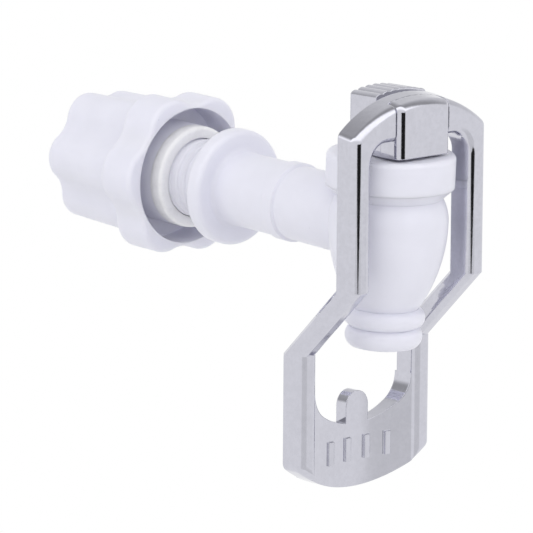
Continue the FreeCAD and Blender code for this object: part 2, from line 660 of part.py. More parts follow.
def make_lever_pin():
    """Pin through the block and the stem's eye."""
    pin = doc.addObject("Part::Cylinder", "lever_pin")
    pin.Label = "lever_pin"
    pin.setExpression("Radius", bound("pin_radius"))
    pin.setExpression("Height", bound("pad_width - 2 * pin_recess"))
    pin.Placement.Rotation = FreeCAD.Rotation(FreeCAD.Vector(0, 1, 0), 90)
    pin.setExpression("Placement.Base.x", bound("pin_recess - pad_width / 2"))
    pin.setExpression("Placement.Base.y", bound("-reach"))
    pin.setExpression("Placement.Base.z", bound("pin_level"))
    NODES.append(pin)


def sagged(middle, curve, across):
    """Level of an upward-opening arc at a place across, from its middle's level and its radius."""
    return f"({middle} + {curve} - sqrt({curve} ^ 2 - ({across}) ^ 2))"


def arch_corners():
    """Front outline of the legs and of the arch's blank, open between the legs."""
    foot_inside = sagged("foot_middle", "foot_curve", "leg_inside")
    return [
        ("-frame_half_width", "foot_corner"),
        ("-leg_inside", foot_inside, "foot_curve", 1),
        ("-leg_inside", "window_top - window_corner"),
        ("window_corner - leg_inside", "window_top", "window_corner", -1),
        ("leg_inside - window_corner", "window_top"),
        ("leg_inside", "window_top - window_corner", "window_corner", -1),
        ("leg_inside", foot_inside),
        ("frame_half_width", "foot_corner", "foot_curve", 1),
        ("frame_half_width", "blank_top"),
        ("-frame_half_width", "blank_top"),
    ]


def plate_corners():
    """Front outline of the push plate with its tab, a little into each leg."""
    wide = "(leg_inside + plate_lap)"
    beside_tab = sagged("plate_top_middle", "plate_curve", "tab_half")
    foot_wide = sagged("foot_middle", "foot_curve", wide)
    return [
        ("-" + wide, foot_wide),
        ("0", "foot_middle", "foot_curve", 1),
        (wide, foot_wide, "foot_curve", 1),
        (wide, "corner_level"),
        ("leg_inside", "corner_level"),
        ("corner_across * corner_share", "corner_foot", "plate_corner", -1),
        ("tab_half", beside_tab, "plate_curve", -1),
        ("tab_half", "tab_top - tab_half"),
        ("0", "tab_top", "tab_half", 1),
        ("-tab_half", "tab_top - tab_half", "tab_half", 1),
        ("-tab_half", beside_tab),
        ("-corner_across * corner_share", "corner_foot", "plate_curve", -1),
        ("-leg_inside", "corner_level", "plate_corner", -1),
        ("-" + wide, "corner_level"),
    ]


def front_to_back(edge):
    """Whether an edge runs from front to back."""
    first, last = edge.Vertexes[0].Point, edge.Vertexes[-1].Point
    return abs(first.x - last.x) < 1e-4 and abs(first.z - last.z) < abs(first.y - last.y) / 2


def on_leg_face(edge, front):
    """Whether an edge is a side of the legs' front or back faces, and not one of their bends."""
    upper, lower = -size("leg_back"), size("lower_back")
    if front:
        upper, lower = -size("leg_front"), size("lower_front")
    bends = (size("crank_top"), size("crank_foot"))
    points = [vertex.Point for vertex in edge.Vertexes]

    def on_face(point):
        share = min(max((bends[0] - point.z) / (bends[0] - bends[1]), 0.0), 1.0)
        return abs(point.y - upper - share * (lower - upper)) < 1e-4

    in_bend = any(all(abs(point.z - level) < 1e-4 for point in points) for level in bends)
    return all(on_face(point) for point in points) and not in_bend


def make_push_frame():
    """Loop of an arch and two cranked legs, with a cupped push plate between its feet.

    Its own frame stands at the lever pin and leans by `frame_lean`.
    """
    body = new_body("push_frame", up="pin_level")
    lean(body)
    sketch = sketch_on(body, "arch_outline", "XZ_Plane", "leg_front")
    outline(sketch, arch_corners())
    padded(body, "arch_and_legs", sketch, "leg_front + lower_back", backwards=True)
    sketch = sketch_on(body, "front_crank_outline", "YZ_Plane")
    outline(sketch, [
        ("-leg_front - 1", "foot_middle - 1"),
        ("lower_front", "foot_middle - 1"),
        ("lower_front", "crank_foot"),
        ("-leg_front", "crank_top"),
        ("-leg_front - 1", "crank_top"),
    ])
    pocketed(body, "front_crank", sketch, "3 * frame_half_width", both_ways=True)
    sketch = sketch_on(body, "back_crank_outline", "YZ_Plane")
    outline(sketch, [
        ("lower_back + 1", "blank_top + 1"),
        ("-leg_back", "blank_top + 1"),
        ("-leg_back", "crank_top"),
        ("lower_back", "crank_foot"),
        ("lower_back + 1", "crank_foot"),
    ])
    pocketed(body, "back_crank", sketch, "3 * frame_half_width", both_ways=True)
    arch_top_cut(body)
    outside = size("frame_half_width")
    rounded(body, "arch_corners_round", "arch_corner",
            lambda edge: front_to_back(edge) and abs(abs(edge.Vertexes[0].X) - outside) < 1e-4
            and edge.Vertexes[0].Z > 0)
    rounded(body, "foot_corners_round", "foot_round",
            lambda edge: front_to_back(edge) and abs(abs(edge.Vertexes[0].X) - outside) < 1e-4
            and edge.Vertexes[0].Z < size("crank_foot") - 1)
    rounded(body, "front_edges_round", "leg_round", lambda edge: on_leg_face(edge, True))
    rounded(body, "back_edges_bevel", "leg_back_edge", lambda edge: on_leg_face(edge, False), "Chamfer")
    notch_side = "(head_width / 2 + notch_gap)"
    sketch = sketch_on(body, "notch_outline", "XZ_Plane")
    outline(sketch, box_corners("-" + notch_side, notch_side, "window_top - leg_round", "notch_top"))
    pocketed(body, "notch", sketch, "4 * leg_front", both_ways=True)
    sketch = sketch_on(body, "head_seat_outline", "YZ_Plane")
    outline(sketch, box_corners("-2 * leg_front", "notch_depth - leg_front", "window_top - leg_round",
                                "blank_top"))
    pocketed(body, "head_seat", sketch, "2 * " + notch_side, both_ways=True)
    sketch = sketch_on(body, "plate_outline", "XZ_Plane", "-plate_rear")
    outline(sketch, plate_corners())
    padded(body, "push_plate", sketch, "plate_rear - plate_edge_front")
    sketch = sketch_on(body, "cup_outline", "XY_Plane", "foot_middle - 1")
    outline(sketch, [
        ("leg_inside", "plate_edge_front"),
        ("0", "plate_middle_front", "cup_curve", 1),
        ("-leg_inside", "plate_edge_front", "cup_curve", 1),
    ])
    pocketed(body, "cup", sketch, "tab_top - foot_middle + 2", backwards=True)
    for number in (0.5, 1.5):
        sketch = sketch_on(body, f"bars_outline_{round(2 * number)}", "XZ_Plane", "-plate_rear")
        inner = f"{number} * bar_pitch - bar_width / 2"
        outer = f"{number} * bar_pitch + bar_width / 2"
        low, high = "bar_level - bar_height / 2", "bar_level + bar_height / 2"
        outline(sketch, box_corners(inner, outer, low, high))
        outline(sketch, box_corners(f"-({outer})", f"-({inner})", low, high))
        cup_face = f"plate_middle_front - cup_curve + sqrt(cup_curve ^ 2 - ({number} * bar_pitch) ^ 2)"
        padded(body, f"bars_{round(2 * number)}", sketch, f"plate_rear - ({cup_face}) + bar_proud")


def make_seal_washer():
    """Ring round the tube, pushed against the wall by the nut."""
    body = new_body("seal_washer", along="washer_front")
    turned(body, "ring", "YZ_Plane", "H_Axis", [
        ("0", "washer_bore"),
        ("washer_width", "washer_bore"),
        ("washer_width", "washer_radius"),
        ("washer_edge", "washer_radius"),
        ("0", "washer_radius - washer_edge", "washer_edge", 1),
    ])


def lobed_corners(part):
    """Outline of six lobes: round noses joined by tangent flutes.

    The sizes are those of the nut's part: its hub is the circle of the noses' centres.
    """
    hub, nose, flute, valley = (f"{part}_{name}" for name in ("hub", "nose", "flute", "valley"))
    share = f"{nose} / ({nose} + {flute})"
    touch_out = f"({hub} + (({valley} + {flute}) * cos(30 deg) - {hub}) * {share})"
    touch_side = f"(({valley} + {flute}) * sin(30 deg) * {share})"
    corners = []
    for lobe in range(6):
        turn = f"((lobe_angle + {60 * lobe}) * 1 deg)"
        for way, radius, side in ((-1, flute, -1), (1, nose, 1)):
            corners.append((f"{touch_out} * cos{turn} - {way} * {touch_side} * sin{turn}",
                            f"{touch_out} * sin{turn} + {way} * {touch_side} * cos{turn}", radius, side))
    return corners


def make_mounting_nut():
    """Nut with a skirt, a threaded sleeve inside it and a lobed grip behind."""
    body = new_body("mounting_nut", along="nut_front")
    sketch = sketch_on(body, "grip_outline", "XZ_Plane", "-collar_width / 2")
    outline(sketch, lobed_corners("grip"))
    grip = padded(body, "grip", sketch, "nut_length - collar_width / 2", backwards=True)
    grip.setExpression("TaperAngle", bound("-grip_taper"))
    doc.recompute()
    end = size("nut_length")
    rounded(body, "grip_end_round", "grip_edge",
            lambda edge: all(abs(vertex.Y - end) < 1e-4 for vertex in edge.Vertexes))
    sketch = sketch_on(body, "collar_outline", "XZ_Plane")
    outline(sketch, lobed_corners("collar"))
    padded(body, "collar", sketch, "collar_width", backwards=True)
    rim = size("(collar_valley + grip_peak) / 2")
    rounded(body, "collar_round", "collar_edge",
            lambda edge: all(min(abs(vertex.Y), abs(vertex.Y - size("collar_width"))) < 1e-4
                             and math.hypot(vertex.X, vertex.Z) > rim for vertex in edge.Vertexes))
    turned(body, "hollow", "YZ_Plane", "H_Axis", [
        ("0", "0"),
        ("nut_length", "0"),
        ("nut_length", "nut_bore"),
        ("sleeve_front", "nut_bore"),
        ("sleeve_front", "sleeve_radius"),
        ("skirt_depth", "sleeve_radius"),
        ("skirt_depth", "skirt_radius"),
        ("0", "skirt_radius"),
    ], cut=True)


def write_parts():
    """Check every object, then write each sub-part to its own file."""
    doc.recompute()
    for item in doc.Objects:
        if "Invalid" in item.State or "Error" in item.State:
            raise RuntimeError(f"{item.Name} failed: {item.State}")
    for node in NODES:
        if node.Shape.isNull() or not node.Shape.isValid():
            raise RuntimeError(f"{node.Label} has no valid shape")
    os.makedirs("parts", exist_ok=True)
    for node in NODES:
        node.Shape.exportStep(f"parts/{node.Label}.step")
        print(f"{node.Label}: {len(node.Shape.Solids)} solid, {node.Shape.Volume / 1000:.2f} cm3")


fill_sheet()
make_tap_body()
make_bonnet_cap()
make_guide_bush()
make_ring_seal("stem_o_ring", "stem_radius + seal_clearance + stem_seal_section / 2", "stem_seal_section",
               "(gland_foot + roof_underside) / 2")
make_ring_seal("bonnet_o_ring", "groove_radius + seal_clearance + cap_seal_section / 2", "cap_seal_section",
               "(groove_foot + groove_top) / 2")
make_valve_stem()
make_valve_plug()
make_spring_washer()
make_return_spring()
make_lever_block()
make_lever_pin()
make_push_frame()
make_seal_washer()
make_mounting_nut()
write_parts()
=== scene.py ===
# %% [markdown]
# The tap is packed as solids. This script dresses them: it loads them as a fixed frame, adds the fine
# detail that a mould and plating leave, gives each surface a procedural material, and lights the result
# like a catalogue photograph on white.

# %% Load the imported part
import json
import math

import bmesh
import bpy
from mathutils import Matrix, Vector


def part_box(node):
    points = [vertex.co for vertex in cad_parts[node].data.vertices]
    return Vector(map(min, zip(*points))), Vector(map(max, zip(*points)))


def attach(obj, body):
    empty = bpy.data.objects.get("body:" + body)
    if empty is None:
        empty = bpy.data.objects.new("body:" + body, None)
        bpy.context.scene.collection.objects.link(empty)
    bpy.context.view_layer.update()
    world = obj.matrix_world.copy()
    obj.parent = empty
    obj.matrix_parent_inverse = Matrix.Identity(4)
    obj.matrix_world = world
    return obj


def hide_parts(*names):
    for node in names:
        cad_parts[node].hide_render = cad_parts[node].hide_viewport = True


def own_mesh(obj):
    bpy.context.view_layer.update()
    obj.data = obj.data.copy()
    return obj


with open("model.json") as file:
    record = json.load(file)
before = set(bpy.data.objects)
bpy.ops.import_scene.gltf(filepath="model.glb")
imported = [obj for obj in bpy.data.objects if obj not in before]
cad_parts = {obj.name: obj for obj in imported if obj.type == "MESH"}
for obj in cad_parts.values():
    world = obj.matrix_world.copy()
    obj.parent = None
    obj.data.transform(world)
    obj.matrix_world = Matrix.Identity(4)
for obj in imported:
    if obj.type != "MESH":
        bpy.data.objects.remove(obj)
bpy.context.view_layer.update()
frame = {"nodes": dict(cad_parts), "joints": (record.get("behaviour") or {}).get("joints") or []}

MM = 0.001
print("nodes:", ", ".join(frame["nodes"]))

# %% [markdown]
# Two places are read from the frame, so that the details follow the solids if a size changes. The valve's
# axis is the middle of the cap, and the body reaches back as far as its inlet tube.

# %% Read the places of the details
cap_low, cap_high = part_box("bonnet_cap")
VALVE_AXIS = (cap_low + cap_high) / 2
TUBE_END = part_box("tap_body")[1].y
print("valve axis at y =", round(VALVE_AXIS.y, 4), "tube ends at y =", round(TUBE_END, 4))

# %% [markdown]
# ## Camera
# The photograph was taken with a long lens from the front left, a little above the tap. The camera's
# angles, its distance and the point that it aims at were solved from points on the photograph. A
# constraint could aim the camera, but this one is also rolled a little, so its three axes are worked out
# and written into its matrix.

# %% Set the camera
AZIMUTH, ELEVATION, ROLL = (math.radians(angle) for angle in (-44.17, 12.67, 2.24))
FOCAL_PIXELS, IMAGE_PIXELS, DISTANCE = 5000, 533, 1.1547
AIM_RIGHT, AIM_UP = -0.02772, -0.01059
SENSOR_WIDTH, NEAREST, FARTHEST = 36, 0.05, 20
TO_CAMERA = Vector((math.sin(AZIMUTH), -math.cos(AZIMUTH), 0))


def camera_axes():
    """Right, up and back of the level camera."""
    back = TO_CAMERA * math.cos(ELEVATION) + Vector((0, 0, math.sin(ELEVATION)))
    right = Vector((math.cos(AZIMUTH), math.sin(AZIMUTH), 0))
    return right, back.cross(right), back


def make_camera():
    """Camera at the photograph's place, with its slight roll."""
    right, up, back = camera_axes()
    aim = Vector((0, VALVE_AXIS.y, 0)) + right * AIM_RIGHT + up * AIM_UP
    turned_right = right * math.cos(ROLL) + up * math.sin(ROLL)
    turned_up = up * math.cos(ROLL) - right * math.sin(ROLL)
    data = bpy.data.cameras.new("camera")
    data.sensor_width = SENSOR_WIDTH
    data.lens = SENSOR_WIDTH * FOCAL_PIXELS / IMAGE_PIXELS
    data.clip_start, data.clip_end = NEAREST, FARTHEST
    camera = bpy.data.objects.new("camera", data)
    place = Matrix((turned_right, turned_up, back)).transposed().to_4x4()
    place.translation = aim + back * DISTANCE
    camera.matrix_world = place
    bpy.context.scene.collection.objects.link(camera)
    bpy.context.scene.camera = camera
    return camera


camera = make_camera()
print("camera at", [round(value, 3) for value in camera.location])

# %% [markdown]
# ## Shader helpers
# A material is a graph of nodes. Written as sums and products it reads like the finish that it stands
# for, so a small class wraps a socket and turns Python's operators into Math nodes. Every other node
# comes from one method, which makes its settings first and then fills its sockets.

# %% Wrap sockets for shader maths
BEVEL_SAMPLES = 6
NOISE_MIDDLE, NOISE_ROUGHNESS = 0.5, 0.5
MIX_FACTOR, MIX_FIRST, MIX_SECOND, MIX_RESULT = 0, 6, 7, 2


class Wire:
    """Shader socket that takes part in Python expressions."""

    def __init__(self, graph, socket):
        self.graph = graph
        self.socket = socket

    def math(self, operation, *terms):
        """Math node on this socket and further terms, in the order given."""
        values = [self, *terms]
        return self.graph.node("ShaderNodeMath", {"operation": operation}, dict(enumerate(values)))

    def __add__(self, other):
        return self.math("ADD", other)

    def __mul__(self, other):
        return self.math("MULTIPLY", other)

    def __sub__(self, other):
        return self.math("SUBTRACT", other)

    def __rsub__(self, other):
        return (self * -1) + other

    def __abs__(self):
        return self.math("ABSOLUTE")

    __radd__ = __add__
    __rmul__ = __mul__


class Graph:
    """Nodes of one material or of the world."""

    def __init__(self, tree):
        self.tree = tree

    def node(self, kind, settings=None, sockets=None, output=0):
        """Node of a kind: its settings are made first, then its sockets are set or linked."""
        node = self.tree.nodes.new(kind)
        for name, value in (settings or {}).items():
            setattr(node, name, value)
        self.fill(node, sockets or {})
        return Wire(self, node.outputs[output])

    def fill(self, node, sockets):
        """Set or link a node's sockets, which are given by name or by number."""
        for name, value in sockets.items():
            if isinstance(value, Wire):
                self.tree.links.new(value.socket, node.inputs[name])
            else:
                node.inputs[name].default_value = value

    def parts(self, vector):
        """The three coordinates of a vector."""
        first = self.node("ShaderNodeSeparateXYZ", None, {"Vector": vector})
        return [Wire(self, output) for output in first.socket.node.outputs]

    def mixed(self, factor, first, second):
        """Mix of two colours."""
        colours = {MIX_FACTOR: factor, MIX_FIRST: first, MIX_SECOND: second}
        return self.node("ShaderNodeMix", {"data_type": "RGBA"}, colours, MIX_RESULT)

    def blended(self, factor, first, second):
        """Mix of two shaders."""
        return self.node("ShaderNodeMixShader", None, {0: factor, 1: first, 2: second})

    def eased(self, value, span, start=0.0, end=1.0):
        """Value that goes smoothly from start to end over a span."""
        low, high = span
        limits = {"From Min": low, "From Max": high, "To Min": start, "To Max": end}
        return self.node("ShaderNodeMapRange", {"interpolation_type": "SMOOTHSTEP"},
                         {"Value": value, **limits})

    def faded(self, value, span):
        """Value that goes smoothly from 1 to 0 over a span."""
        return self.eased(value, span, 1.0, 0.0)

    def soft_normal(self, radius, height, strength, distance):
        """Normal with rounded edges of a radius, and a height pattern on it."""
        edges = self.node("ShaderNodeBevel", {"samples": BEVEL_SAMPLES}, {"Radius": radius})
        return self.node("ShaderNodeBump", None, {"Strength": strength, "Distance": distance,
                                                  "Height": height, "Normal": edges})

    def noise(self, place, size, detail, roughness=NOISE_ROUGHNESS):
        """Noise whose grains have about the size given, in metres."""
        return self.node("ShaderNodeTexNoise", {"noise_dimensions": "3D"},
                         {"Vector": place, "Scale": 1 / size, "Detail": detail, "Roughness": roughness})


def blank(name):
    """New material, its graph and its nodes."""
    material = bpy.data.materials.new(name)
    material.use_nodes = True
    return material, Graph(material.node_tree), material.node_tree.nodes


def finish(name):
    """New material with its graph, its shader node and its place on the piece."""
    material, graph, nodes = blank(name)
    place = graph.node("ShaderNodeTexCoord", output="Object")
    return material, graph, nodes["Principled BSDF"], place


def in_scene(mesh):
    """Object of the same name as its mesh, linked to the scene."""
    piece = bpy.data.objects.new(mesh.name, mesh)
    bpy.context.scene.collection.objects.link(piece)
    return piece


print("helpers ready")

# %% [markdown]
# ## Light
# Chrome shows its surroundings, so the surroundings are part of the picture. Lamps and white boards could
# stand round the tap, as in a studio, but each would leave an outline in the plating. Here the studio is
# painted on the world by direction: a white room, a large soft light in front of and above the tap, and
# the darker room behind it. The camera itself sees plain white, as on a cut-out photograph.

# %% Paint the studio on the world
ROOM, BACK_LOW, BACK_HIGH, SOFT_BOX = 0.98, 0.80, 0.42, 1.6
BACK_SPAN = (-55, -12)
BOX_STARTS, BOX_ENDS = (-8, 12), (28, 62)
CEILING_STARTS = (0.08, 0.36)


def studio():
    """World that is white for the camera, and a studio for everything else."""
    world = bpy.data.worlds.new("studio")
    world.use_nodes = True
    graph = Graph(world.node_tree)
    way = graph.node("ShaderNodeTexCoord", output="Generated")
    east, north, up = graph.parts(way)
    toward = east * TO_CAMERA.x + north * TO_CAMERA.y
    tilt = toward.math("ARCTAN2", up) * math.degrees(1)
    back_room = graph.eased(tilt, BACK_SPAN, BACK_LOW, BACK_HIGH)
    box_start = graph.eased(tilt, BOX_STARTS)
    box_end = graph.eased(tilt, BOX_ENDS)
    above = back_room + box_start * (SOFT_BOX - back_room) + box_end * (ROOM - SOFT_BOX)
    height = graph.eased(up, CEILING_STARTS)
    tone = ROOM + height * (above - ROOM)
    camera_ray = graph.node("ShaderNodeLightPath", output="Is Camera Ray")
    shown = tone + camera_ray * (1 - tone)
    graph.fill(world.node_tree.nodes["Background"], {"Color": shown, "Strength": 1.0})
    bpy.context.scene.world = world


bpy.context.scene.view_settings.view_transform = "Standard"
studio()
print("studio tones:", ROOM, BACK_LOW, BACK_HIGH, SOFT_BOX)

# %% [markdown]
# The photograph shows nothing under the tap. A pale floor well below it sends light up to its undersides,
# where the world alone would leave them flat. It is white for the camera, and polished surfaces look past
# it to the studio.

# %% Lay the floor
FLOOR_LEVEL, FLOOR_HALF = -0.3, 4
FLOOR_TONE, FLOOR_ROUGHNESS = 0.88, 0.9
PLAIN_WHITE = (1, 1, 1, 1)


def floor():
    """Pale floor well below the tap."""
    mesh = bpy.data.meshes.new("floor")
    shape = bmesh.new()
    bmesh.ops.create_grid(shape, x_segments=1, y_segments=1, size=FLOOR_HALF)
    bmesh.ops.translate(shape, verts=shape.verts, vec=(0, 0, FLOOR_LEVEL))
    shape.to_mesh(mesh)
    shape.free()
    plane = in_scene(mesh)
    material, graph, nodes = blank("floor")
    shader = nodes["Principled BSDF"]
    graph.fill(shader, {
        "Base Color": (FLOOR_TONE, FLOOR_TONE, FLOOR_TONE, 1),
        "Roughness": FLOOR_ROUGHNESS,
    })
    pale = Wire(graph, shader.outputs[0])
    white = graph.node("ShaderNodeEmission", None, {"Color": PLAIN_WHITE, "Strength": 1.0})
    camera_ray = graph.node("ShaderNodeLightPath", output="Is Camera Ray")
    graph.fill(nodes["Material Output"], {"Surface": graph.blended(camera_ray, pale, white)})
    mesh.materials.append(material)
    plane.visible_glossy = False


floor()
print("floor at", FLOOR_LEVEL)

# %% [markdown]
# Black lines along the edges make chrome look like chrome. They come from a dark card in front of the tap,
# close enough that only the upper legs see its black part. It widens upwards, and below its foot a grey
# part tones down what the lower legs see. Cut shapes would give hard reflections, so both parts are
# painted on a clear sheet with soft edges. Only reflections see the sheet.

# %% Stand the card
CARD_DISTANCE, CARD_SIZE = 0.35, 0.8
CARD_FOOT, CARD_HEAD, CARD_TOP = -0.068, -0.030, 0.03
FOOT_HALF, HEAD_HALF = 0.05, 0.2
CARD_SOFTNESS = 0.013
BLACK_EDGE, GREY_EDGE = (0.85, 1.15), (0.216, 0.36)
CARD_GREY, CARD_BLACK = 0.80, 0.015


def card():
    """Upright card whose black and grey parts are painted on a clear sheet."""
    mesh = bpy.data.meshes.new("card")
    shape = bmesh.new()
    bmesh.ops.create_grid(shape, x_segments=1, y_segments=1, size=CARD_SIZE / 2)
    bmesh.ops.rotate(shape, verts=shape.verts, matrix=Matrix.Rotation(math.pi / 2, 3, "X"))
    bmesh.ops.translate(shape, verts=shape.verts, vec=(0, VALVE_AXIS.y - CARD_DISTANCE, 0))
    shape.to_mesh(mesh)
    shape.free()
    sheet = in_scene(mesh)
    material, graph, nodes = blank("card")
    across, _, level = graph.parts(graph.node("ShaderNodeTexCoord", output="Object"))
    off = abs(across)
    half = graph.eased(level, (CARD_FOOT, CARD_HEAD), FOOT_HALF, HEAD_HALF)
    edge = off.math("DIVIDE", half)
    above_foot = graph.eased(level, (CARD_FOOT - CARD_SOFTNESS, CARD_FOOT + CARD_SOFTNESS))
    under_top = graph.faded(level, (CARD_TOP - CARD_SOFTNESS, CARD_TOP + CARD_SOFTNESS))
    black = graph.faded(edge, BLACK_EDGE) * above_foot * under_top
    grey = graph.faded(off, GREY_EDGE) * graph.faded(level, (CARD_FOOT, CARD_FOOT + CARD_SOFTNESS))
    tone = CARD_GREY + black * (CARD_BLACK - CARD_GREY)
    paint = graph.node("ShaderNodeEmission", None, {"Color": tone, "Strength": 1.0})
    clear = graph.node("ShaderNodeBsdfTransparent")
    cover = black.math("MAXIMUM", grey)
    graph.fill(nodes["Material Output"], {"Surface": graph.blended(cover, clear, paint)})
    nodes.remove(nodes["Principled BSDF"])
    mesh.materials.append(material)
    sheet.visible_camera = False
    sheet.visible_diffuse = False
    sheet.visible_shadow = False


card()
print("card at", CARD_DISTANCE, "in front of the tap")

# %% [markdown]
# ## Finishes
# Every finish reads Object coordinates, so its grain has a real size in metres and stays on the piece.
# Moulded plastic has a faint cloudiness, a fine orange peel and a few specks. An image could show them,
# but noise needs no unwrapping and has no seams. The colour hardly changes, because a strong pattern would
# look like stone, and a little light passes under the surface. A Bevel node rounds the shading at edges.

# %% Make the plastics
CLOUD_SIZE, GRAIN_SIZE, SPECK_SIZE, PEEL_SIZE = 9 * MM, 0.5 * MM, 0.9 * MM, 1.6 * MM
CLOUD_SPAN, SPECK_SPAN, CLOUD_TONE = (0.35, 0.65), (0.80, 0.84), 0.975
GRAIN_IN_PEEL, GRAIN_IN_SHEEN = 0.3, 0.12
PEEL_STRENGTH, PEEL_DEPTH = 0.12, 0.05 * MM
PLASTIC_EDGE, PLASTIC_SCATTER = 0.3 * MM, 2.5 * MM
EVEN_SCATTER = (1, 1, 1)


def shaded(colour, share):
    """Colour times a share, as a shader colour."""
    return (colour[0] * share, colour[1] * share, colour[2] * share, 1)


def moulded_plastic(name, colour, roughness, speck_share=0.9, inside=0.2):
    """Satin moulded plastic."""
    material, graph, shader, place = finish(name)
    cloud = graph.eased(graph.noise(place, CLOUD_SIZE, detail=3), CLOUD_SPAN)
    grain = graph.noise(place, GRAIN_SIZE, detail=2)
    specks = graph.eased(graph.noise(place, SPECK_SIZE, detail=1), SPECK_SPAN)
    tone = graph.mixed(cloud, shaded(colour, CLOUD_TONE), shaded(colour, 1.0))
    tone = graph.mixed(specks, tone, shaded(colour, speck_share))
    height = graph.noise(place, PEEL_SIZE, detail=3) + grain * GRAIN_IN_PEEL
    bump = graph.soft_normal(PLASTIC_EDGE, height, PEEL_STRENGTH, PEEL_DEPTH)
    graph.fill(shader, {
        "Base Color": tone,
        "Roughness": roughness + (grain - NOISE_MIDDLE) * GRAIN_IN_SHEEN,
        "Normal": bump,
        "Subsurface Weight": inside,
        "Subsurface Radius": EVEN_SCATTER,
        "Subsurface Scale": PLASTIC_SCATTER,
    })
    return material


WHITE = (0.80, 0.80, 0.89)
NUT_WHITE = (0.79, 0.79, 0.88)
STEM_WHITE = (0.8, 0.8, 0.8)
body_plastic = moulded_plastic("white_moulding", WHITE, roughness=0.34)
nut_plastic = moulded_plastic("nut_moulding", NUT_WHITE, roughness=0.42, speck_share=0.8, inside=0.4)
stem_plastic = moulded_plastic("stem_moulding", STEM_WHITE, roughness=0.5)
print("plastics:", body_plastic.name, nut_plastic.name, stem_plastic.name)

# %% [markdown]
# More light passes under the surface of silicone than of the plastics, and its skin is dull and slightly
# dusty. The black seals are hidden. They get the same finish with no light inside, because rubber has
# such a skin too.

# %% Make the soft seals
DUST_SIZE, SKIN_SIZE = 2.5 * MM, 0.35 * MM
DUST_SPAN, DUST_TONE, DUST_IN_SHEEN = (0.45, 0.7), 0.94, 0.15
SKIN_STRENGTH, SKIN_DEPTH = 0.2, 0.04 * MM
SEAL_EDGE, SEAL_SCATTER = 0.2 * MM, 2 * MM
CLUMPED = 0.6
PALE_SILICONE = (0.84, 0.84, 0.86)
BLACK_RUBBER = (0.03, 0.03, 0.03)


def soft_seal(name, colour, roughness, inside):
    """Silicone or rubber with a dusty skin."""
    material, graph, shader, place = finish(name)
    dust = graph.eased(graph.noise(place, DUST_SIZE, detail=4, roughness=CLUMPED), DUST_SPAN)
    tone = graph.mixed(dust, shaded(colour, 1.0), shaded(colour, DUST_TONE))
    skin = graph.noise(place, SKIN_SIZE, detail=2)
    bump = graph.soft_normal(SEAL_EDGE, skin, SKIN_STRENGTH, SKIN_DEPTH)
    graph.fill(shader, {
        "Base Color": tone,
        "Roughness": roughness + dust * DUST_IN_SHEEN,
        "Normal": bump,
        "Subsurface Weight": inside,
        "Subsurface Radius": EVEN_SCATTER,
        "Subsurface Scale": SEAL_SCATTER,
    })
    return material


silicone = soft_seal("clear_silicone", PALE_SILICONE, roughness=0.42, inside=0.5)
black_rubber = soft_seal("black_rubber", BLACK_RUBBER, roughness=0.55, inside=0.0)
print("seals:", silicone.name, black_rubber.name)

# %% [markdown]
# The lever is plastic under bright plating. Such plating is a mirror, but it follows the small waves of
# the moulding below it, so straight reflections wander a little, and it is hazy where hands touch it. The
# waves are a slight bump and the haze is a rise in roughness. A finer mottle darkens it here and there.

# %% Make the plating
HAZE_SIZE, FINE_SIZE, MOTTLE_SIZE, WAVE_SIZE = 6 * MM, 0.7 * MM, 1.3 * MM, 3.5 * MM
HAZE_SPAN, MOTTLE_SPAN, FRAYED = (0.45, 0.75), (0.35, 0.65), 0.7
CLEAR_TONE, HAZE_TONE, MOTTLE_TONE, MOTTLE_SHARE = 1.03, 0.98, 0.93, 0.5
BRIGHT, HAZE_IN_SHEEN, FINE_IN_SHEEN, FINE_IN_WAVES = 0.07, 0.05, 0.05, 0.15
WAVE_STRENGTH, WAVE_DEPTH, PLATED_EDGE = 0.22, 0.03 * MM, 0.35 * MM
CHROME = (0.60, 0.60, 0.665)


def bright_plating(name, colour):
    """Chrome over moulded plastic."""
    material, graph, shader, place = finish(name)
    haze = graph.eased(graph.noise(place, HAZE_SIZE, detail=4, roughness=CLUMPED), HAZE_SPAN)
    fine = graph.noise(place, FINE_SIZE, detail=3)
    mottle = graph.eased(graph.noise(place, MOTTLE_SIZE, detail=4, roughness=FRAYED), MOTTLE_SPAN)
    tone = graph.mixed(haze, shaded(colour, CLEAR_TONE), shaded(colour, HAZE_TONE))
    tone = graph.mixed(mottle * MOTTLE_SHARE, tone, shaded(colour, MOTTLE_TONE))
    waves = graph.noise(place, WAVE_SIZE, detail=2) + fine * FINE_IN_WAVES
    bump = graph.soft_normal(PLATED_EDGE, waves, WAVE_STRENGTH, WAVE_DEPTH)
    graph.fill(shader, {
        "Base Color": tone,
        "Metallic": 1.0,
        "Roughness": BRIGHT + haze * HAZE_IN_SHEEN + (fine - NOISE_MIDDLE) * FINE_IN_SHEEN,
        "Normal": bump,
    })
    return material


plating = bright_plating("bright_plating", CHROME)
print("plating:", plating.name)

# %% [markdown]
# The pin and the spring are drawn wire, and the small washer by the spring shares its steel. Drawing leaves
# fine lines. Here they are a noise that a Mapping node stretches along the direction of drawing.

# %% Make the steels
DRAWN_OUT = 0.05
LINE_SIZE, STAIN_SIZE = 0.08 * MM, 3 * MM
STAIN_SPAN, STAIN_TONE = (0.4, 0.7), 0.88
SATIN, LINES_IN_SHEEN = 0.28, 0.3
LINE_STRENGTH, LINE_DEPTH, STEEL_EDGE = 0.25, 0.01 * MM, 0.15 * MM
STEEL = (0.56, 0.56, 0.57)


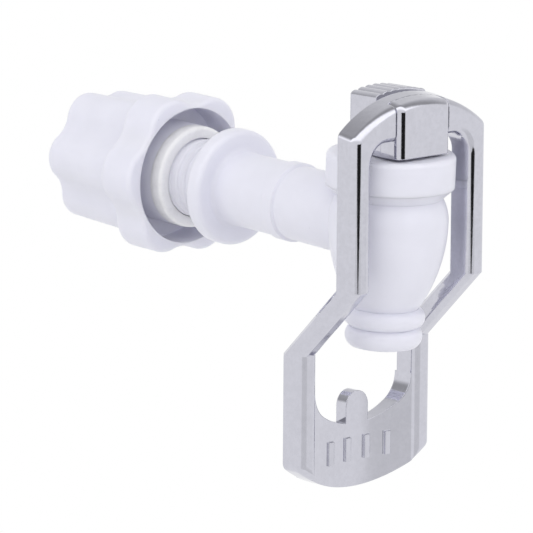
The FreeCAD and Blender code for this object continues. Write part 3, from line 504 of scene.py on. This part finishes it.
def drawn_steel(name, colour, along):
    """Steel with fine lines along the direction in which it was drawn."""
    material, graph, shader, place = finish(name)
    stretch = [DRAWN_OUT if axis == along else 1.0 for axis in "XYZ"]
    lines_place = graph.node("ShaderNodeMapping", None, {"Vector": place, "Scale": stretch})
    lines = graph.noise(lines_place, LINE_SIZE, detail=3)
    stain = graph.eased(graph.noise(place, STAIN_SIZE, detail=3), STAIN_SPAN)
    tone = graph.mixed(stain, shaded(colour, 1.0), shaded(colour, STAIN_TONE))
    bump = graph.soft_normal(STEEL_EDGE, lines, LINE_STRENGTH, LINE_DEPTH)
    graph.fill(shader, {
        "Base Color": tone,
        "Metallic": 1.0,
        "Roughness": SATIN + (lines - NOISE_MIDDLE) * LINES_IN_SHEEN,
        "Normal": bump,
    })
    return material


pin_steel = drawn_steel("pin_steel", STEEL, "X")
spring_steel = drawn_steel("spring_steel", STEEL, "Z")
print("steels:", pin_steel.name, spring_steel.name)

# %% [markdown]
# The solids carry the normals of their true surfaces, so even a mirror shows no facets. A joined copy with
# normals of its own would lose them, so each node stays as it is and gets its finish in its own slots.

# %% Dress the nodes
FINISHES = {
    "tap_body": body_plastic,
    "bonnet_cap": body_plastic,
    "guide_bush": stem_plastic,
    "stem_o_ring": black_rubber,
    "bonnet_o_ring": black_rubber,
    "return_spring": spring_steel,
    "spring_washer": spring_steel,
    "valve_stem": stem_plastic,
    "valve_plug": silicone,
    "lever_block": plating,
    "lever_pin": pin_steel,
    "push_frame": plating,
    "seal_washer": silicone,
    "mounting_nut": nut_plastic,
}
for node, material in FINISHES.items():
    for slot in frame["nodes"][node].material_slots:
        slot.material = material
print("dressed", len(FINISHES), "nodes")

# %% [markdown]
# ## Thread
# The solid tube is plain, and the thread that shows on it is a low ridge. A Screw modifier could make it
# too, but the spin operator does it in one call: it turns a small trapezium about the tube and moves it on
# by a share of the pitch at each step. The ridge's foot is sunk in the tube, so that no gap shows.

# %% Sweep the thread's ridge round the tube
TUBE_RADIUS, RIDGE_DEPTH, PITCH = 9.1 * MM, 0.36 * MM, 2.5 * MM
RIDGE_FOOT, RIDGE_CREST, SUNK = 0.85 * MM, 0.3 * MM, 0.1 * MM
THREAD_START = 2.2 * MM
STEPS_A_TURN = 60
RIDGE_CREASE = math.radians(32)


def thread_ridge():
    """Helical ridge from just behind the flange to just before the tube's end."""
    length = TUBE_END - 2 * THREAD_START
    steps = round(length / PITCH * STEPS_A_TURN)
    shape = bmesh.new()
    corners = [
        (TUBE_RADIUS - SUNK, THREAD_START - RIDGE_FOOT),
        (TUBE_RADIUS + RIDGE_DEPTH, THREAD_START - RIDGE_CREST),
        (TUBE_RADIUS + RIDGE_DEPTH, THREAD_START + RIDGE_CREST),
        (TUBE_RADIUS - SUNK, THREAD_START + RIDGE_FOOT),
    ]
    section = shape.faces.new([shape.verts.new((0, along, out)) for out, along in corners])
    bmesh.ops.spin(shape, geom=[section, *section.edges, *section.verts],
                   cent=(0, 0, 0), axis=(0, 1, 0), dvec=(0, PITCH / STEPS_A_TURN, 0),
                   angle=math.tau * steps / STEPS_A_TURN, steps=steps)
    bmesh.ops.recalc_face_normals(shape, faces=shape.faces)
    mesh = bpy.data.meshes.new("inlet_thread")
    shape.to_mesh(mesh)
    shape.free()
    mesh.shade_smooth()
    mesh.set_sharp_from_angle(angle=RIDGE_CREASE)
    mesh.materials.append(body_plastic)
    piece = in_scene(mesh)
    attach(piece, "valve")
    print("thread:", steps, "steps,", len(mesh.polygons), "faces")


thread_ridge()

# %% [markdown]
# ## Spring
# The coil stands between the washer on the stem and the bush under the cap, so it gets shorter as the stem
# rises. A solid node can't change its length, and a coil swept anew might not fit its seats. A joined copy
# of the node therefore stands for it and hides the node. The share of its length that the stem's travel
# leaves is worked out and printed, but the copy keeps its full length.

# %% Copy the coil
JOIN_DISTANCE = 0.001 * MM
COIL_CREASE = math.radians(40)


def live_spring():
    """Smooth copy in place of the return spring, still at its full length."""
    low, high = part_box("return_spring")
    lift = next(joint for joint in frame["joints"] if joint["name"] == "stem_lift")
    travel = lift["range_m"][1]
    shape = bmesh.new()
    shape.from_mesh(frame["nodes"]["return_spring"].data)
    bmesh.ops.remove_doubles(shape, verts=shape.verts, dist=JOIN_DISTANCE)
    mesh = bpy.data.meshes.new("return_coil")
    shape.to_mesh(mesh)
    shape.free()
    mesh.shade_smooth()
    mesh.set_sharp_from_angle(angle=COIL_CREASE)
    mesh.materials.append(spring_steel)
    piece = in_scene(mesh)
    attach(piece, "valve")
    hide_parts("return_spring")
    keep = 1 - travel / (high.z - low.z)
    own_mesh(piece)
    print("spring:", len(mesh.vertices), "corners, keeps", round(keep, 3), "of its length")


live_spring()
